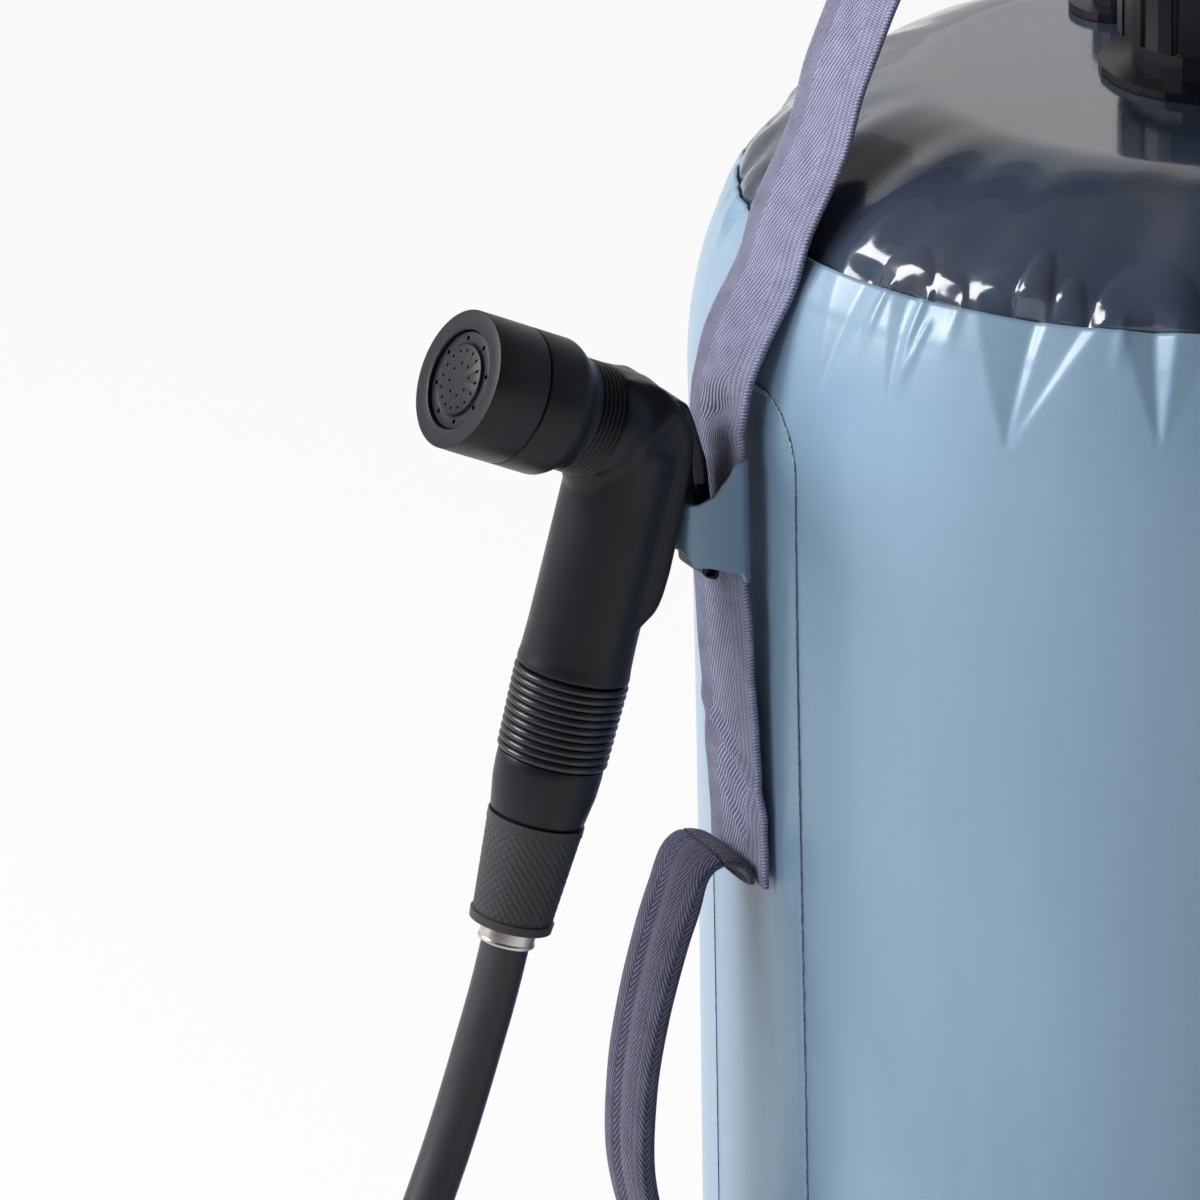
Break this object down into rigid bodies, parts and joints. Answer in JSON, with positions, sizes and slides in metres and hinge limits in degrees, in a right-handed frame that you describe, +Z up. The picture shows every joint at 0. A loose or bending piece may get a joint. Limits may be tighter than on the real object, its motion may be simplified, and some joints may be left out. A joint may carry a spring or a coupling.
{
  "type": "camp shower bag",
  "caption": "Self-standing cylindrical camp shower bag with carry strap, side handles, crown fill cap, and a trigger shower head on a hose, hung in a side loop.",
  "frame": {"origin": "centre of the bag's flat base, on the ground", "axes": "+Z up along the bag's axis, -X towards the side where the sprayer hangs, so the carry strap lies in the XZ plane"},
  "size_m": [0.4974, 0.3909, 0.5008],
  "materials": {
    "coated_fabric": "satin coating",
    "dark_glossy_fabric": "glossy coating",
    "webbing": "woven",
    "black_plastic": "moulded satin",
    "dark_grey_plastic": "knurled",
    "black_rubber": "matte",
    "hose_rubber": "satin",
    "steel": "rolled",
    "brass": "turned"
  },
  "bodies": {
    "bag": {"bag_wall": "coated_fabric", "top_panel": "dark_glossy_fabric", "bottom_panel": "coated_fabric", "side_patch_left": "coated_fabric", "side_patch_right": "coated_fabric", "carry_strap": "webbing", "side_handle_left": "webbing", "side_handle_right": "webbing", "nozzle_loop": "coated_fabric", "fill_neck": "black_plastic", "air_valve_body": "black_plastic", "air_valve_flap": "black_rubber", "outlet_body": "black_plastic", "wall_washer": "black_rubber", "lock_nut": "black_plastic", "inlet_screen": "steel", "outlet_washer": "black_rubber", "outlet_tail": "brass", "outlet_ferrule": "steel", "hose_lower": "hose_rubber", "hose_coil": "hose_rubber", "hose_upper": "hose_rubber"},
    "sprayer": {"sprayer_body": "black_plastic", "grip_sleeve": "black_plastic", "trigger_pin": "steel", "return_spring": "steel", "valve_seat": "brass", "stem_seal": "black_rubber", "flow_disc": "black_plastic", "plate_gasket": "black_rubber", "sprayer_washer": "black_rubber", "sprayer_tail": "brass", "sprayer_ferrule": "steel"},
    "trigger": {"trigger_lever": "black_plastic"},
    "valve_plunger": {"valve_stem": "steel", "valve_disc": "black_rubber"},
    "spray_head": {"spray_cap": "black_plastic", "jet_plate": "black_plastic"},
    "sprayer_swivel": {"sprayer_nut": "dark_grey_plastic"},
    "outlet_swivel": {"outlet_nut": "dark_grey_plastic"},
    "fill_seal": {"fill_gasket": "black_rubber"},
    "fill_lid": {"fill_cap": "black_plastic"},
    "air_plug": {"air_valve_cap": "black_plastic"}
  },
  "joints": [
    {"name": "sprayer_lift", "type": "slide", "parent": "bag", "child": "sprayer", "axis": [-0.1143, -0.0397, 0.9927], "range_m": [0, 0.05]},
    {"name": "trigger_squeeze", "type": "hinge", "parent": "sprayer", "child": "trigger", "pos_m": [-0.15729, -0.00321, 0.33887], "axis": [-0.0621, 0.9975, 0.0328], "range_deg": [0, 5], "stiffness_Nm_per_rad": 0.3, "springref_deg": -8.59, "deforming": ["return_spring"]},
    {"name": "valve_push", "type": "slide", "parent": "sprayer", "child": "valve_plunger", "axis": [-0.9602, -0.0687, 0.2706], "range_m": [0, 0.0016]},
    {"name": "spray_head_turn", "type": "hinge", "parent": "sprayer", "child": "spray_head", "pos_m": [-0.1657, -0.0036, 0.3348], "axis": [-0.8972, -0.0702, 0.4361], "range_deg": [0, 90]},
    {"name": "sprayer_nut_turn", "type": "hinge", "parent": "sprayer", "child": "sprayer_swivel", "pos_m": [-0.1657, -0.0036, 0.3348], "axis": [0.2722, -0.0147, 0.9621], "continuous": true},
    {"name": "outlet_nut_turn", "type": "hinge", "parent": "bag", "child": "outlet_swivel", "pos_m": [0, 0, 0.0575], "axis": [-0.342, -0.9397, 0], "continuous": true},
    {"name": "fill_seal_rise", "type": "slide", "parent": "bag", "child": "fill_seal", "axis": [0, 0, 1], "range_m": [0, 0.0092]},
    {"name": "fill_cap_turn", "type": "hinge", "parent": "fill_seal", "child": "fill_lid", "pos_m": [0, 0, 0.42], "axis": [0, 0, 1], "range_deg": [0, 540]},
    {"name": "air_plug_pull", "type": "slide", "parent": "bag", "child": "air_plug", "axis": [0, 0, 1], "range_m": [0, 0.012]}
  ],
  "couplings": [
    {"joint": "valve_push", "follows": "trigger_squeeze", "m_per_rad": 0.0172},
    {"joint": "fill_seal_rise", "follows": "fill_cap_turn", "m_per_rad": 0.00095493}
  ]
}
